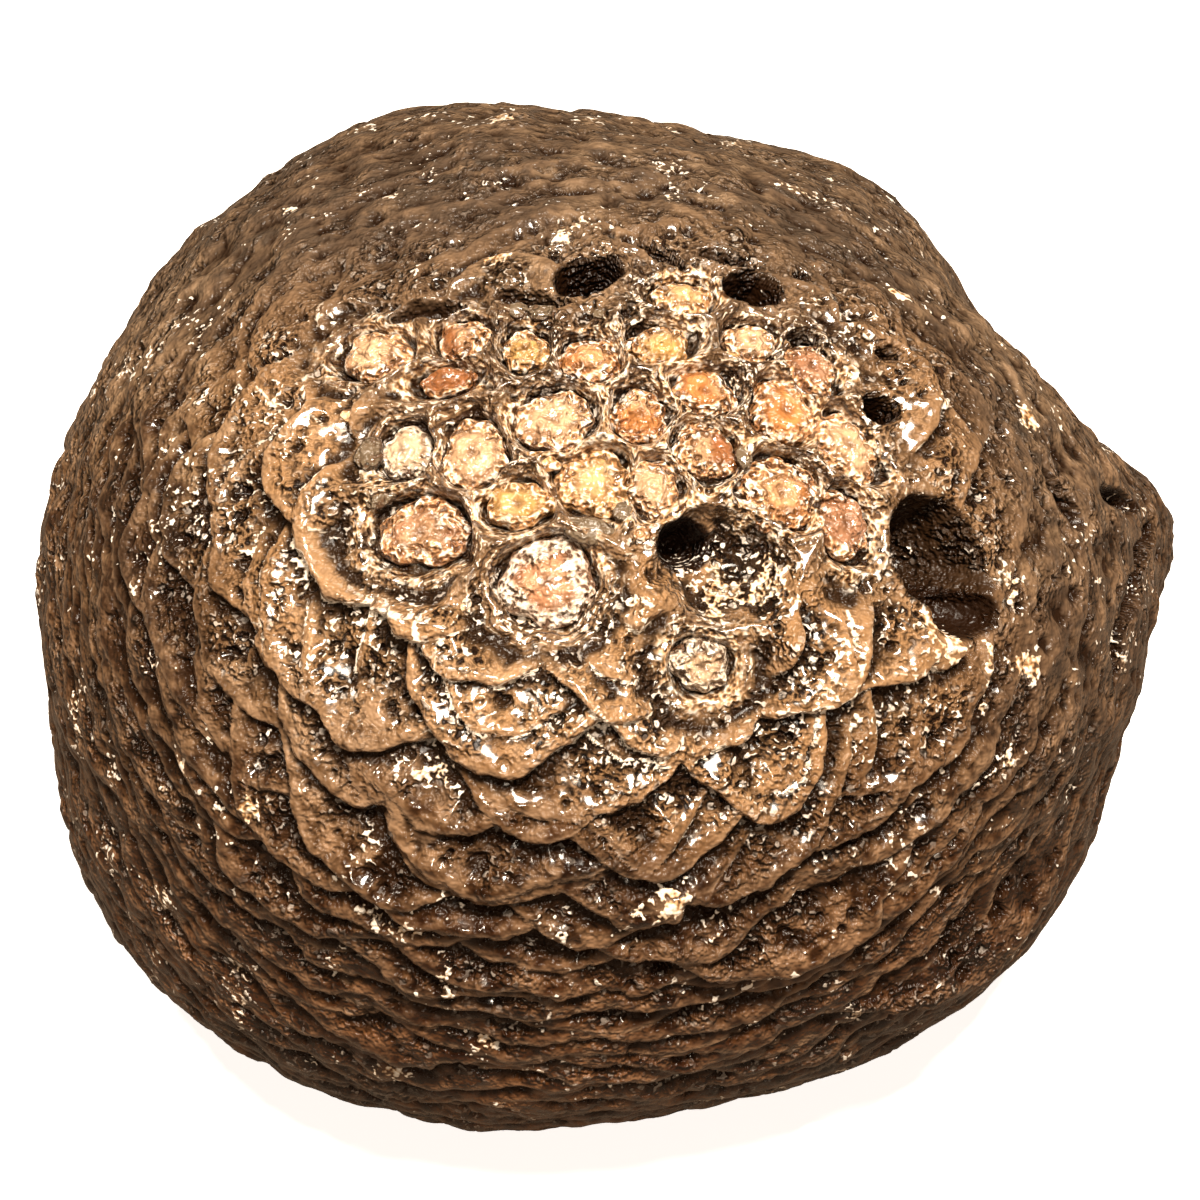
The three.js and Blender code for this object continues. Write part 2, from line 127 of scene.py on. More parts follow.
# Seeds: east, north, half width, half height, turn in degrees, finish
SEEDS = [
    (5.5, 11.8, 2.2, 1.7, 0, "straw"), (-14.4, 7.8, 2.3, 2.0, -10, "cream"),
    (-8.8, 8.6, 1.9, 1.7, 30, "rust"), (-4.8, 7.6, 1.6, 1.8, 20, "straw"),
    (-0.6, 6.8, 2.1, 1.8, -10, "amber"), (3.8, 7.9, 2.1, 1.6, 0, "straw"),
    (9.6, 8.2, 1.8, 1.6, 0, "cream"), (13.2, 6.5, 1.7, 2.1, 25, "rose"),
    (-9.6, 5.4, 1.8, 1.1, 10, "rust"), (6.4, 4.3, 2.1, 1.7, -10, "amber"),
    (11.2, 3.2, 2.0, 2.4, 15, "amber"), (2.4, 2.6, 1.8, 2.0, 10, "amber"),
    (-2.8, 2.3, 2.5, 2.2, 15, "cream"), (14.6, 1.1, 1.7, 2.6, 35, "cream"),
    (6.2, 0.3, 2.1, 1.8, -35, "rust"), (-7.5, 0.2, 2.0, 2.4, 0, "cream"),
    (-11.6, 0.5, 1.6, 1.8, 0, "chalk"), (-0.4, -1.8, 2.3, 2.2, 0, "straw"),
    (3.1, -2.1, 1.6, 1.9, 0, "cream"), (10.4, -2.2, 2.4, 2.4, 0, "amber"),
    (-4.7, -3.1, 2.1, 1.5, 0, "straw"), (13.9, -3.8, 1.6, 2.2, 10, "rose"),
    (-10.1, -4.5, 2.7, 2.1, -5, "rose"), (-2.9, -7.5, 2.7, 2.6, 0, "pearl"),
    (5.5, -11.9, 1.7, 1.5, 0, "chalk"),
]
SEED_DOME = 1.15  # rise of a seed's dome above the floor of its socket
SOCKET_DEPTH = 0.95  # of the socket's floor below the seed face's ground
FACE_SINK = 0.35  # of the seed face's ground below the base form
FACE_MARGIN = 2.6  # how far the ground reaches past the outermost seeds
WALL_HEIGHT = 0.75  # of the thin walls between two seeds
WALL_WIDTH = 0.75
SEED_GRID = (64, 34)  # cells round a seed, and from its crown to its root

FINISHES = {"cream": (0.56, 0.35, 0.2), "straw": (0.5, 0.29, 0.09), "amber": (0.5, 0.19, 0.055),
            "rust": (0.27, 0.095, 0.032), "rose": (0.34, 0.16, 0.085), "pearl": (0.5, 0.23, 0.12),
            "chalk": (0.58, 0.42, 0.27), "glass": (0.14, 0.098, 0.06)}

# Small crystals and pebbles set in the ground between the seeds, the same way
PEBBLES = [
    (-0.7, -4.7, 1.5, 0.8, -10, "glass"), (2.2, -4.9, 0.7, 0.6, 0, "amber"),
    (1.3, -3.7, 0.6, 0.6, 0, "glass"), (-3.4, -0.6, 1.2, 0.6, -15, "straw"),
    (-13.5, 0.4, 0.8, 1.1, 0, "glass"), (-7.3, -8.7, 0.45, 0.5, 0, "chalk"),
    (-5.5, 10.5, 0.9, 0.6, 10, "glass"), (-3.8, 10.3, 1.0, 0.6, 0, "glass"),
    (-15.1, 2.9, 1.2, 0.6, 15, "cream"), (8.0, 6.6, 0.7, 0.5, 0, "straw"),
    (-12.4, -2.4, 0.9, 0.6, 30, "glass"), (0.4, 10.0, 0.9, 0.6, 0, "glass"),
    (8.3, -0.2, 0.5, 0.8, 0, "glass"),
]

# Pale mineral patches flush with the stone, the same way
INLAYS = [
    (-6.8, 14.8, 1.1, 0.45, 5), (-22.9, 23.0, 0.9, 0.5, 10), (28.0, 5.0, 0.8, 0.9, 0),
    (15.6, 26.3, 2.2, 0.9, -20), (21.3, -11.4, 0.4, 1.9, -8), (18.7, -9.4, 1.3, 1.6, 20),
    (2.9, -23.4, 2.1, 0.9, 20), (-18.7, -18.3, 0.6, 0.8, 20), (-7.9, 34.0, 1.0, 0.6, 0),
    (20.6, 14.0, 0.7, 0.5, 0), (23.9, -10.7, 0.9, 0.6, 0), (7.8, -7.4, 2.6, 1.9, -10),
]

# Empty chambers and bored holes: east, north, half width, half height, turn in degrees, depth
HOLLOWS = [
    (6.9, -6.5, 4.0, 3.3, -10, 2.5), (4.9, -5.5, 1.8, 1.6, 0, 5.0),  # bowl below the seeds, and its bore
    (-0.7, 13.2, 2.5, 1.5, 19, 5.0), (10.0, 12.6, 2.1, 1.6, -5, 5.0),  # bores above the seeds
    (3.6, 15.8, 2.5, 0.75, -34, 3.0), (-2.9, 17.0, 1.5, 0.5, 8, 1.8), (-10.2, 17.0, 0.9, 0.45, 10, 1.4),
    (8.4, 15.2, 1.8, 0.6, -20, 1.6), (-11.4, 10.7, 2.5, 0.8, 10, 1.5), (-4.5, 11.3, 2.5, 0.8, -8, 1.5),
    (16.8, 3.6, 1.15, 1.0, 0, 3.2), (17.9, 7.6, 0.75, 0.45, -30, 1.8), (25.1, 3.5, 0.6, 0.7, 20, 1.6),
    (19.1, -5.2, 2.7, 3.6, 20, 5.0), (20.2, -8.3, 2.1, 1.3, 10, 3.4),  # deep chamber on the right
    (29.1, -0.3, 0.85, 2.1, 33, 4.5), (37.0, 1.9, 3.4, 1.0, 10, 3.2),  # clefts beside the knob
    (39.6, -1.0, 0.9, 3.9, -46, 3.4), (35.6, -5.8, 0.9, 3.3, -39, 3.4), (33.8, -9.4, 0.9, 2.2, 0, 3.0),
    (12.9, 8.4, 1.1, 0.8, 0, 1.6),
]

# Three finer meshes overlap the stone's: the seed face, by its middle and half sizes on the map, and a band
# round the pole on the right and on the left, by middle bearing and half turn, middle angle from the pole
# and half height. Each is 1 at its rim and shows inside SEAM; past it, it dives under its neighbour.
FACE_MIDDLE = (1.5, 0.5)
FACE_HALF = (22.5, 18.5)
BANDS = {"right_scales": math.radians(132.5), "left_scales": math.radians(227.5)}
BAND_TURN = math.radians(61.3)
BAND_MIDDLE = 1.0
BAND_HALF = 0.66
SEAM = 0.84
SEAM_SLOPE = 0.12  # how far inside a seam the neighbour has dived
DIVE = 1.6
DEEP_DIVE = 4.5
STONE_CELLS = 128  # along each side of the cube that the stone's mesh is blown up from
STONE_ZOOM = 1.3  # how much finer that mesh is at the seed face
FACE_GRID = (330, 270)  # points across and up the seed face's mesh
BAND_GRID = (360, 270)  # points round and along a band's mesh
STONE_ROUNDS, PATCH_ROUNDS = 10, 45  # smoothing that finds a crevice; a finer mesh needs more of it

# Colours of the finish
DARK_SCALE = (0.08, 0.033, 0.012)
WORN_STONE = (0.125, 0.093, 0.066)
# partly the scales' own tan, partly painted light on the front scales near the seed face
TAN_SCALE_AND_LIGHT = (0.45, 0.245, 0.11)
SEED_GROUND = (0.075, 0.045, 0.025)
SEED_WALL = (0.06, 0.035, 0.019)
# darker and redder towards the foot: partly a real stain, partly painted shade where the light from above
# falls off
FOOT_STAIN_AND_SHADE = (0.52, 0.31, 0.17)
STONE_TONES = [(0.4, (0.014, 0.0048, 0.0015)), (0.465, (0.055, 0.026, 0.0105)),
               (0.53, (0.13, 0.073, 0.034)), (0.62, (0.29, 0.183, 0.103))]
CREAM_TONES = [(0.36, (0.1, 0.04, 0.014)), (0.46, (0.4, 0.22, 0.095)), (0.55, (0.74, 0.55, 0.37)),
               (0.66, (0.88, 0.8, 0.7))]
DARK_LINE = (0.03, 0.012, 0.005)
PALE_LINE = (0.8, 0.67, 0.52)
# lighter on raised places, and a painted highlight along the lips
RIDGE_AND_LIP_HIGHLIGHT = (0.27, 0.165, 0.095)
# painted shade in the gaps between crumbs and in the pocks
CRUMB_GAP_SHADE = (0.016, 0.006, 0.0022)
# painted shade, near black, in crevices and inside the hollows
CREVICE_SHADE = (0.012, 0.0045, 0.0016)
# pale crystals, partly painted glints
CRYSTAL_AND_GLINT = (0.84, 0.73, 0.63)
VEIN = (0.86, 0.74, 0.6)
PALE_KERNEL = (0.72, 0.48, 0.27)
SPECKLE = (0.22, 0.09, 0.03)
CRATER = (0.07, 0.025, 0.008)
SEED_RING = (0.12, 0.045, 0.015)
SEED_RIM = (0.05, 0.02, 0.008)
# painted shade in the gaps between the seeds' crumbs
SEED_CRUMB_GAP_SHADE = (0.08, 0.028, 0.01)
# pale crystals on the seeds, partly painted glints
SEED_CRYSTAL_AND_GLINT = (0.88, 0.8, 0.7)
CRUMB_TONES = [(0.37, (0.05, 0.018, 0.006)), (0.46, (0.3, 0.125, 0.045)), (0.54, (0.54, 0.3, 0.14)),
               (0.63, (0.88, 0.77, 0.64))]
CHALK_TONES = [(0.38, (0.07, 0.05, 0.04)), (0.46, (0.5, 0.42, 0.33)), (0.58, (0.88, 0.8, 0.68))]

# Sizes of the fine textures, in cells to the metre, and the depth of the fine relief in metres
CRUMB_SCALE = 2300
BEAD_SCALE = 1350
MOTTLE_SCALE = 620
BUMP_DEPTH = 0.0006

# Light: two warm lamp colours, and what the floor and the room give where the camera doesn't see them
WARM = (1, 0.91, 0.79)
AMBER = (1, 0.85, 0.68)
FLOOR_BOUNCE = (0.09, 0.065, 0.045)
FLOOR_GLOW = (1, 0.96, 0.94)
ROOM_LIGHT = (0.088, 0.056, 0.03)


# ---------------------------------------------------------------- arithmetic on whole arrays
def smooth(low, high, x):
    """0 below low, 1 above high, and 3t^2 - 2t^3 between them."""
    t = np.clip((x - low) / (high - low), 0, 1)
    return t * t * (3 - 2 * t)


def span(x, low, high):
    """0 at low and 1 at high, on a straight line between them and level beyond."""
    return np.clip((x - low) / (high - low), 0, 1)


def chance(index, salt):
    """A number from 0 to 1 for each whole number: the fraction of a large multiple of a sine."""
    x = np.sin(np.asarray(index, float) * 12.9898 + salt * 78.233) * 43758.5453
    return x - np.floor(x)


def lattice(ix, iy, iz, salt):
    """A number from 0 to 1 for each whole-number place in space, by multiplying and folding its bits."""
    h = (ix.astype(np.int64) * 374761393 + iy.astype(np.int64) * 668265263
         + iz.astype(np.int64) * 2147483647 + salt * 1274126177) & 0xFFFFFFFF
    h = ((h ^ (h >> 13)) * 1274126177) & 0xFFFFFFFF
    h = ((h ^ (h >> 16)) * 2246822519) & 0xFFFFFFFF
    return ((h ^ (h >> 15)) & 0xFFFFFF) / float(0x1000000)


def cloud(p, size, salt=0):
    """Soft noise from -1 to 1 with lumps of about one size: random values on a grid, blended smoothly."""
    q = p / size
    base = np.floor(q)
    t = q - base
    t = t * t * t * (t * (t * 6 - 15) + 10)
    share = (1 - t).T.copy(), t.T.copy()
    total = 0
    for x, y, z in product((0, 1), repeat=3):
        weight = share[x][0] * share[y][1] * share[z][2]
        total = total + weight * lattice(base[:, 0] + x, base[:, 1] + y, base[:, 2] + z, salt)
    return 2 * total - 1


def clouds(p, size, layers, salt=0):
    """Several sizes of soft noise added up, each half as large and half as strong as the one before."""
    total = 0
    for k in range(layers):
        total = total + cloud(p, size / 2**k, salt + k) / 2**k
    return total


def mottling(p, size, salt):
    """Soft noise in three sizes as a mask, mostly from 0.3 to 0.7."""
    return 0.5 + 0.25 * clouds(p, size, 3, salt)


def cells(p, size, salt=0):
    """For each point, the distance to the nearest of the dots scattered one to a cell, and the dot's own
    random number. Distances are in the unit of p."""
    place = p.T.copy()
    base = np.floor(place / size)
    nearest = np.full(len(p), 1e9)
    number = np.zeros(len(p))
    for step in product((-1, 0, 1), repeat=3):
        cell = [corner + side for corner, side in zip(base, step)]
        dot = [(corner + lattice(*cell, salt + k)) * size for k, corner in enumerate(cell)]
        gap = np.linalg.norm(place - dot, axis=0)
        closer = gap < nearest
        nearest = np.where(closer, gap, nearest)
        number = np.where(closer, lattice(*cell, salt + 3), number)
    return nearest, number


def wobble(d, waves, phase):
    """A slow wobble of about -1 to 1: three crossed sine waves over the direction."""
    x, y, z = d.T
    return (np.sin(waves * (x + 0.6 * y) + phase) + np.sin(waves * (y - 0.7 * z) + 2.1 * phase)
            + np.sin(waves * (z + 0.8 * x) + 3.7 * phase)) / 3


# ---------------------------------------------------------------- the map
def to_map(d):
    """Directions to map places: the angle from the pole times MAP_RADIUS, split into east and north."""
    angle = np.arccos(np.clip(d @ POLE, -1, 1))
    bearing = np.arctan2(d @ EAST, d @ NORTH)
    return angle, bearing, MAP_RADIUS * angle * np.sin(bearing), MAP_RADIUS * angle * np.cos(bearing)


def from_map(east, north):
    """Map places to directions, the other way round."""
    far = np.hypot(east, north)
    angle = far / MAP_RADIUS
    share = np.sin(angle) / np.maximum(far, 1e-9)
    return (np.outer(east * share, EAST) + np.outer(north * share, NORTH) + np.outer(np.cos(angle), POLE))


def oval_distance(oval, east, north):
    """How far a map place is from an oval's middle, as a share of its half size in that direction."""
    turn = math.radians(oval[4])
    dx, dy = east - oval[0], north - oval[1]
    across = (dx * math.cos(turn) + dy * math.sin(turn)) / oval[2]
    along = (dy * math.cos(turn) - dx * math.sin(turn)) / oval[3]
    return np.hypot(across, along)


# ---------------------------------------------------------------- the cone's surface
def base_radius(d):
    """A superellipse through the half sizes, plus a bell over its angle for each swell."""
    sideways = np.hypot(d[:, 0] / HALF_WIDTH, d[:, 1] / HALF_DEPTH)
    upper = d[:, 2] > 0
    height = np.abs(d[:, 2]) / np.where(upper, RISE, DROP)
    power = np.where(upper, ROUND_TOP, STEEP_SIDES)
    radius = (sideways**power + height**power) ** (-1 / power)
    for bearing, elevation, spread, tall in SWELLS:
        b, e = math.radians(bearing), math.radians(elevation)
        axis = np.array([math.sin(b) * math.cos(e), -math.cos(b) * math.cos(e), math.sin(e)])
        angle = np.arccos(np.clip(d @ axis, -1, 1))
        radius = radius + tall * np.exp(-((angle / math.radians(spread)) ** 2))
    return radius


def scale_list():
    """Every scale as columns: distance from the pole, bearing, half width, tip height, tip power, bend of the
    tip line, its lean to one side, and reach. The first lie at golden-angle steps round the pole, closer
    together where they are crowded, and the collar's follow."""
    fine = np.linspace(0, math.pi, 4001)
    share = np.cumsum(np.interp(fine, SCALE_PLACES, SCALE_CROWDING) * np.sin(fine))
    k = np.arange(SCALE_COUNT)
    angle = np.interp((k + 0.5) / SCALE_COUNT, share / share[-1], fine)
    uneven = np.interp(angle, (0.6, 1.2), (0.3, 0.14))
    spiral = np.stack([
        angle + 0.025 * (chance(k, 1) - 0.5),
        k * GOLDEN_ANGLE + 0.12 * (chance(k, 2) - 0.5),
        np.interp(angle, SCALE_PLACES, SCALE_HALF_WIDTH) * (0.75 + 0.5 * chance(k, 3)),
        np.interp(angle, SCALE_PLACES, SCALE_THICKNESS) * (1 + uneven * (2 * chance(k, 4) - 1)),
        1.3 + 0.8 * chance(k, 5),
        (2.0 + 2.0 * chance(k, 6)) * np.interp(angle, (0.8, 1.1), (1.0, 0.65)),
        0.8 * (chance(k, 7) - 0.5),
        np.interp(angle, SCALE_PLACES, SCALE_REACH),
    ], 1)
    east, north, half_width, thickness, power, bend, lean = np.array(COLLAR).T
    collar = np.stack([np.hypot(east, north) / MAP_RADIUS, np.arctan2(east, north), half_width, thickness,
                       power, bend, lean, np.full(len(COLLAR), SCALE_REACH[0])], 1)
    return np.concatenate([spiral, collar])


def scale_relief(angle, bearing):
    """The highest plate at each place. A plate falls back inwards from its curved tip line and drops
    steeply outside it; its lip is rounded by blending the larger of the two falls, and beaded. Also gives
    how far inside the tip line the place lies, in mm, the plate's random number, and how near the place is
    to a crease, where one plate's steep side meets the next plate."""
    highest, second, number = np.zeros((3, len(angle)))
    inward, second_inward = np.full((2, len(angle)), 3.0)
    for k, scale in enumerate(scale_list()):
        tip_angle, tip_bearing, half_width, thickness, power, bend, lean, reach = scale
        outward = MAP_RADIUS * (angle - tip_angle)
        near = np.flatnonzero((outward < EDGE * 1.5) & (outward > -reach - 2 * bend))
        swing = (bearing[near] - tip_bearing + math.pi) % (2 * math.pi) - math.pi
        side = MAP_RADIUS * math.sin(tip_angle) * swing / half_width
        inside = np.abs(side) < TIP_FADE**-0.5
        near, side = near[inside], side[inside]
        across = np.abs(side)
        past = outward[near] + bend * across**power * (1 + lean * np.sign(side))
        back, over = -past / reach, past / EDGE
        fall = 0.5 * (back + over + np.sqrt((back - over) ** 2 + LIP_ROUND**2))
        bead = LIP_BEAD * np.exp(-(((past + 0.5) / 0.45) ** 2))
        plate = thickness * (1 - TIP_FADE * across**2 - fall + bead)
        higher = plate > highest[near]
        between = ~higher & (plate > second[near])
        second[near[between]] = plate[between]
        second_inward[near[between]] = -past[between]
        near = near[higher]
        second[near] = highest[near]
        second_inward[near] = inward[near]
        highest[near] = plate[higher]
        inward[near] = -past[higher]
        number[near] = chance(k, 9)
    steep = smooth(0.18, -0.08, np.minimum(inward, second_inward))
    return highest, inward, number, steep * np.exp(-(((highest - second) / CREASE_HEIGHT) ** 2))


def worn(d):
    """How worn the cone is: nothing in front and below, some on the left, most behind and on the right."""
    north = d @ NORTH
    behind = 0.8 * smooth(-0.05, 0.5, north)
    right = 0.75 * smooth(0.45, 0.8, d[:, 0]) * smooth(-0.8, -0.35, north)
    left = 0.2 * smooth(0.35, 0.75, -d[:, 0])
    return np.maximum(behind, np.maximum(right, left))


def streaks(p, d, size, salt):
    """Soft noise drawn out round the pole: its mean over seven places along the circle through each point."""
    along = np.cross(POLE, d)
    along = along / np.maximum(np.linalg.norm(along, axis=1), 1e-9)[:, None]
    return sum(cloud(p + 0.7 * step * size * along, size, salt) for step in range(-3, 4)) / 7


def seed_face(east, north):
    """Ground, sockets and walls between the seeds: the ground lies FACE_SINK low, each socket is a step
    down round a seed, and a wall rises where two seeds are equally near. Also gives how far the face
    covers the place, the gap to the nearest seed and how much of a wall stands there."""
    nearest = np.full(len(east), 1e9)
    second = nearest.copy()
    for seed in SEEDS:
        gap = (oval_distance(seed, east, north) - 1) * min(seed[2], seed[3])
        second = np.minimum(second, np.maximum(nearest, gap))
        nearest = np.minimum(nearest, gap)
    cover = 1 - smooth(FACE_MARGIN * 0.5, FACE_MARGIN, nearest)
    wall = np.exp(-(((second - nearest) / WALL_WIDTH) ** 2))
    socket = SOCKET_DEPTH * (1 - smooth(-0.1, 0.45, nearest))
    return cover, WALL_HEIGHT * wall - FACE_SINK - socket, nearest, wall


def hollow_depth(east, north):
    """The deepest hollow at each place, as a bowl that is flat in its middle, how near its rim is, and how
    much painted shade darkens its inside."""
    depth, rim, dark = np.zeros((3, len(east)))
    for hollow in HOLLOWS:
        share = oval_distance(hollow, east, north)
        depth = np.maximum(depth, np.where(share < 1, hollow[5] * (1 - share**3), 0))
        rim = np.maximum(rim, smooth(1.5, 1.05, share))
        shade = span(hollow[5] / min(hollow[2], hollow[3]), 0.5, 2.0) * min(1, hollow[5] / 2)
        dark = np.maximum(dark, shade * smooth(1.12, 0.97, share))
    return depth, rim, dark


def pits(p, size, salt, share, depth):
    """Round pits scattered one to a cell: share of the cells have one, of random width."""
    gap, number = cells(p, size, salt)
    radius = size * (0.22 + 0.25 * chance(np.floor(number * 4096), 7))
    bowl = np.clip(1 - (gap / radius) ** 2, 0, 1)
    return np.where(number < share, depth * bowl, 0)


def washes(layers):
    """Colours laid over each other, each by its share, gathered in two: what the ground colour is
    multiplied by, and what is added to it."""
    tint = np.ones((len(layers[0][0]), 3))
    wash = np.zeros_like(tint)
    for share, colour in layers:
        tint *= 1 - share[:, None]
        wash = wash * (1 - share[:, None]) + share[:, None] * np.array(colour)
    return tint, wash


def broad_lumps(d):
    """Wide, low swells of the whole stone, seeds and all."""
    return 0.35 * wobble(d, 6, 0.4) + 0.2 * wobble(d, 13, 2.9)


def stone_lumps(p, d, cover, wear, inward):
    """Wide swells, lumps in three sizes, and on worn stone furrows that run round the pole and crack."""
    swells = 0.2 * cloud(p, 2.6, 21) + 0.12 * cloud(p, 1.3, 22)
    lumps = broad_lumps(d) + swells * (1 - 0.7 * cover) * (1 + 0.5 * wear)
    lumps = lumps + 0.06 * cloud(p, 0.55, 23) * (1 - cover) * (1 - wear) * smooth(0.1, 0.5, inward)
    drawn = streaks(p, d, 1.2, 71)
    cracks = smooth(0.05, 0.0, np.abs(drawn)) * wear * smooth(0.0, 0.3, cloud(p, 6.0, 72) + 0.15)
    return lumps + 0.35 * wear * drawn - 0.28 * cracks


def cone_surface(d, dive):
    """Points of the cone's surface along the directions d, lowered by dive, and the masks for its finish."""
    angle, bearing, east, north = to_map(d)
    base = base_radius(d)
    p = d * base[:, None]

    # ragged tip lines: the map is stirred before the scales are looked up
    stir = 0.02 * wobble(d, 9, 1.3) + (0.6 * cloud(p, 5.5, 11) + 0.35 * clouds(p, 2.2, 3, 12)) / MAP_RADIUS
    turn = 0.03 * wobble(d, 7, 4.2) + 0.5 * cloud(p, 6.5, 13) / MAP_RADIUS
    turn = turn / np.maximum(0.25, np.sin(angle))
    scales, inward, number, crease = scale_relief(angle + stir, bearing + turn)
    wear = worn(d)
    scales = (1 - wear) * (scales - GROUND)
    hole, rim, dark = hollow_depth(east + 0.2 * cloud(p, 1.3, 16), north + 0.2 * cloud(p, 1.3, 17))

    # seed face: ragged too, with low growth rings round each seed
    cover, ground, seed_gap, wall = seed_face(east + 0.3 * cloud(p, 1.5, 14), north + 0.3 * cloud(p, 1.5, 15))
    ground = ground + cover * (0.12 * cloud(p, 0.9, 18) + 0.1 * cloud(p, 0.5, 19)) * (1 - wall)
    rings = np.sin(10.5 * seed_gap + 2.5 * cloud(p, 1.2, 24)) * smooth(1.9, 0.6, seed_gap)
    ground = ground + 0.04 * cover * rings
    relief = (scales * (1 - cover) + ground * cover) * (1 - 0.7 * rim)
    lumps = stone_lumps(p, d, cover, wear, inward)

    # round pits in three sizes, most of them on the faces of the scales
    rough = (0.2 + 0.8 * smooth(0.3, 1.1, inward)) * (1 - cover) * (1 - 0.4 * wear)
    low = smooth(0.9, 1.4, angle)
    pitted = pits(p, 2.0, 31, 0.3 + 0.25 * wear, 0.6) * rough
    pitted = pitted + pits(p, 1.25, 41, 0.55 + 0.2 * low, 0.55 + 0.2 * low) * np.maximum(rough, 0.6 * wear)
    pitted = pitted + pits(p, 0.8, 51, 0.55, 0.3) * (0.6 + 0.4 * cover)

    # the underside is cut flat, a little hollow here and there
    radius = base + relief + lumps - pitted - hole - dive
    floor_lift = 0.45 * smooth(0.0, 0.8, clouds(p, 4.5, 3, 61) + 0.3)
    down = d[:, 2] < 0
    to_floor = (CENTRE_HEIGHT - floor_lift) / np.maximum(-d[:, 2], 1e-6)
    radius = np.where(down, np.minimum(radius, to_floor), radius)
    points = d * radius[:, None]
    points[:, 2] = np.maximum(points[:, 2] + CENTRE_HEIGHT, 0)

    # finish: crumbs, gaps of painted shade and crystals that are partly painted glints, crust and lines near
    # the seeds, veins, a painted highlight along the lips, and washes of colour, among them painted light
    # near the seed face and painted shade towards the foot
    inlay = np.zeros(len(d))
    for patch in INLAYS:
        inlay = np.maximum(inlay, 1.6 - oval_distance(patch, east, north))
    seed_gap = np.clip(seed_gap, -1, 9)
    patches = mottling(p, 2.1, 111)
    front = span(seed_gap, 8.9, 4.5)
    rough = np.clip(np.maximum(0.5 * cover, rough + 0.3 * low), 0, 1) * (1 + front)
    crust = rough * span(mottling(p, 2.6, 101), 0.42, 0.58)
    edges = (1 - wear) * (1 - cover) * (1 - rim)
    # hollow: how much painted shade darkens the inside of a hollow
    masks = {"broad": 0.4 * mottling(p, 14.0, 121), "seed_gap": seed_gap, "hollow": dark,
             "swell": 0.5 * crust + 0.3 * rough + 0.08, "gaps": np.maximum(crust, 0.4 * rough),
             # sparkle: pale crystals, partly painted glints, most of them near the seed face
             "sparkle": crust * (0.25 + 0.45 * front) * (1 - 0.75 * wear) * (1 - dark),
             "near_seed": cover * span(seed_gap + 4.0 * (patches - 0.5), 0.75, 0.15),
             "lined": cover * span(seed_gap, 2.0, 0.6) * span(patches, 0.44, 0.54),
             "vein": span(seed_gap, 8.5, 3.0) * edges * crease * span(patches, 0.38, 0.48),
             "inlay": np.clip(inlay, 0, 1) + 2.4 * (patches - 0.5),
             # painted highlight: a thin light line along each lip
             "lip": 0.65 * edges * np.exp(-(((inward - 0.08) / 0.16) ** 2))}
    # painted shade and a stain together: darker and redder towards the foot, except near the seed face
    foot_stain_and_shade = 1 - (span(points[:, 2], 42, 15) * (1 - front))[:, None] * (1 - np.array(FOOT_STAIN_AND_SHADE))
    # the tan near the seed face is partly the scales' own colour, partly painted light
    tint, wash = washes([(0.3 * number, DARK_SCALE), (0.5 * wear, WORN_STONE),
                         (0.6 * front * (1 - wear), TAN_SCALE_AND_LIGHT), (0.5 * cover * (1 - wall), SEED_GROUND),
                         (0.6 * cover * wall, SEED_WALL)])
    masks["tint"], masks["wash"] = tint * foot_stain_and_shade, wash * foot_stain_and_shade
    return points * MM, masks, relief - pitted - hole + lumps


# ---------------------------------------------------------------- meshes
def make_mesh(name, points, quads, masks=None):
    """A smooth-shaded mesh object at the origin from points and four-cornered faces, with its masks."""
    mesh = bpy.data.meshes.new(name)
    mesh.vertices.add(len(points))
    mesh.vertices.foreach_set("co", points.astype(np.float32).ravel())
    loops = quads.ravel().astype(np.int32)
    mesh.loops.add(len(loops))
    mesh.loops.foreach_set("vertex_index", loops)
    mesh.polygons.add(len(quads))
    mesh.polygons.foreach_set("loop_start", np.arange(0, len(loops), quads.shape[1], dtype=np.int32))
    mesh.update(calc_edges=True)
    mesh.validate()
    mesh.polygons.foreach_set("use_smooth", np.ones(len(mesh.polygons), bool))
    for mask, values in (masks or {}).items():
        kind, field = ("FLOAT_VECTOR", "vector") if values.ndim == 2 else ("FLOAT", "value")
        layer = mesh.attributes.new(mask, kind, "POINT")
        layer.data.foreach_set(field, values.astype(np.float32).ravel())
    piece = bpy.data.objects.new(name, mesh)
    bpy.context.scene.collection.objects.link(piece)
    return piece


def crevices(quads, height, rounds):
    """How far each vertex lies below its neighbourhood: the height averaged along the edges a number of
    times over, less the height itself."""
    a, b = quads.T.ravel(), np.roll(quads, -1, 1).T.ravel()
    share = 1 / np.bincount(np.append(a, b), minlength=len(height))
    level = height
    for _ in range(rounds):
        level = share * (np.bincount(a, level[b], len(height)) + np.bincount(b, level[a], len(height)))
    return level - height


def add_depths(masks, quads, height, rounds):
    """Adds how deep in a crevice and how high on a ridge each vertex lies. The depth, with the dark inside of
    the hollows, is the mask for painted shade; the height lightens raised places.
    """
    crevice, valley = crevices(quads, height, rounds), crevices(quads, height, 5 * rounds)
    deep = 0.95 * np.maximum(span(crevice, 0, 0.13), span(valley, 0, 0.45))
    masks["deep"] = np.maximum(deep, masks.pop("hollow"))
    masks["ridge"] = 0.3 * span(crevice, 0, -0.16)


